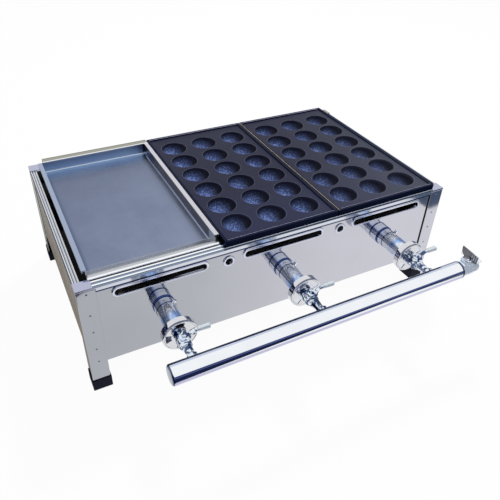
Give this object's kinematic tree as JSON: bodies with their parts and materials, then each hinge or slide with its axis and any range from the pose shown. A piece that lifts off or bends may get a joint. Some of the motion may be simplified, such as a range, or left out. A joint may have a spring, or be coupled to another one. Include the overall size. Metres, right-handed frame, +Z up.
{
  "type": "takoyaki maker",
  "caption": "Countertop gas takoyaki maker: a flat griddle beside cast cavity plates on a stainless casing, fed by a front gas pipe with lever cocks and air shutters.",
  "frame": {"origin": "middle of the footprint, on the surface under the feet", "axes": "+X to the right as seen from the gas pipe, -Y towards the gas pipe at the front, +Z up"},
  "size_m": [0.6024, 0.4878, 0.195],
  "materials": {
    "stainless": "polished sheet",
    "foot_rubber": "matte",
    "griddle_steel": "blued plain sheet",
    "plate_iron": "satin",
    "burner_iron": "cast, silver painted",
    "chrome": "polished",
    "brass": "machined",
    "grip_sleeve": "satin"
  },
  "bodies": {
    "casing": {"front_panel": "stainless", "rear_panel": "stainless", "left_side_panel": "stainless", "right_side_panel": "stainless", "leg_front_left": "stainless", "leg_front_right": "stainless", "leg_rear_left": "stainless", "leg_rear_right": "stainless", "front_rail": "stainless", "rear_rail": "stainless", "left_side_rail": "stainless", "right_side_rail": "stainless", "cross_stay_left": "stainless", "cross_stay_right": "stainless", "burner_support_bar": "stainless", "foot_front_left": "foot_rubber", "foot_front_right": "foot_rubber", "foot_rear_left": "foot_rubber", "foot_rear_right": "foot_rubber", "burner_left": "burner_iron", "burner_middle": "burner_iron", "burner_right": "burner_iron", "cock_body_left": "chrome", "cock_body_middle": "chrome", "cock_body_right": "chrome", "tube_screws": "chrome", "gas_pipe": "chrome", "pipe_ends": "chrome", "main_cock_body": "chrome", "gas_jets": "brass"},
    "griddle": {"griddle_pan": "griddle_steel"},
    "plate_middle": {"takoyaki_plate_middle": "plate_iron"},
    "plate_right": {"takoyaki_plate_right": "plate_iron"},
    "shutter_left": {"air_shutter_left": "chrome"},
    "shutter_middle": {"air_shutter_middle": "chrome"},
    "shutter_right": {"air_shutter_right": "chrome"},
    "cock_left": {"cock_plug_left": "brass", "cock_lever_left": "chrome", "lever_grip_left": "grip_sleeve", "cock_nut_left": "chrome"},
    "cock_middle": {"cock_plug_middle": "brass", "cock_lever_middle": "chrome", "lever_grip_middle": "grip_sleeve", "cock_nut_middle": "chrome"},
    "cock_right": {"cock_plug_right": "brass", "cock_lever_right": "chrome", "lever_grip_right": "grip_sleeve", "cock_nut_right": "chrome"},
    "main_tap": {"main_cock_plug": "brass", "main_cock_lever": "chrome"}
  },
  "joints": [
    {"name": "griddle_lift", "type": "slide", "parent": "casing", "child": "griddle", "axis": [0, 0, 1], "range_m": [0, 0.06]},
    {"name": "plate_middle_lift", "type": "slide", "parent": "casing", "child": "plate_middle", "axis": [0, 0, 1], "range_m": [0, 0.06]},
    {"name": "plate_right_lift", "type": "slide", "parent": "casing", "child": "plate_right", "axis": [0, 0, 1], "range_m": [0, 0.06]},
    {"name": "shutter_left_turn", "type": "hinge", "parent": "casing", "child": "shutter_left", "pos_m": [-0.191, -0.1763, 0.128], "axis": [0, -1, 0], "range_deg": [0, 45]},
    {"name": "shutter_middle_turn", "type": "hinge", "parent": "casing", "child": "shutter_middle", "pos_m": [-0.0035, -0.1763, 0.128], "axis": [0, -1, 0], "range_deg": [-37, 8]},
    {"name": "shutter_right_turn", "type": "hinge", "parent": "casing", "child": "shutter_right", "pos_m": [0.184, -0.1763, 0.128], "axis": [0, -1, 0], "range_deg": [-37, 8]},
    {"name": "cock_left_turn", "type": "hinge", "parent": "casing", "child": "cock_left", "pos_m": [-0.191, -0.1893, 0.138], "axis": [0, 0, 1], "range_deg": [-90, 0]},
    {"name": "cock_middle_turn", "type": "hinge", "parent": "casing", "child": "cock_middle", "pos_m": [-0.0035, -0.1893, 0.138], "axis": [0, 0, 1], "range_deg": [-90, 0]},
    {"name": "cock_right_turn", "type": "hinge", "parent": "casing", "child": "cock_right", "pos_m": [0.184, -0.1893, 0.138], "axis": [0, 0, 1], "range_deg": [-90, 0]},
    {"name": "main_tap_turn", "type": "hinge", "parent": "casing", "child": "main_tap", "pos_m": [0.246, -0.2303, 0.142], "axis": [0, 0, 1], "range_deg": [0, 90]}
  ]
}
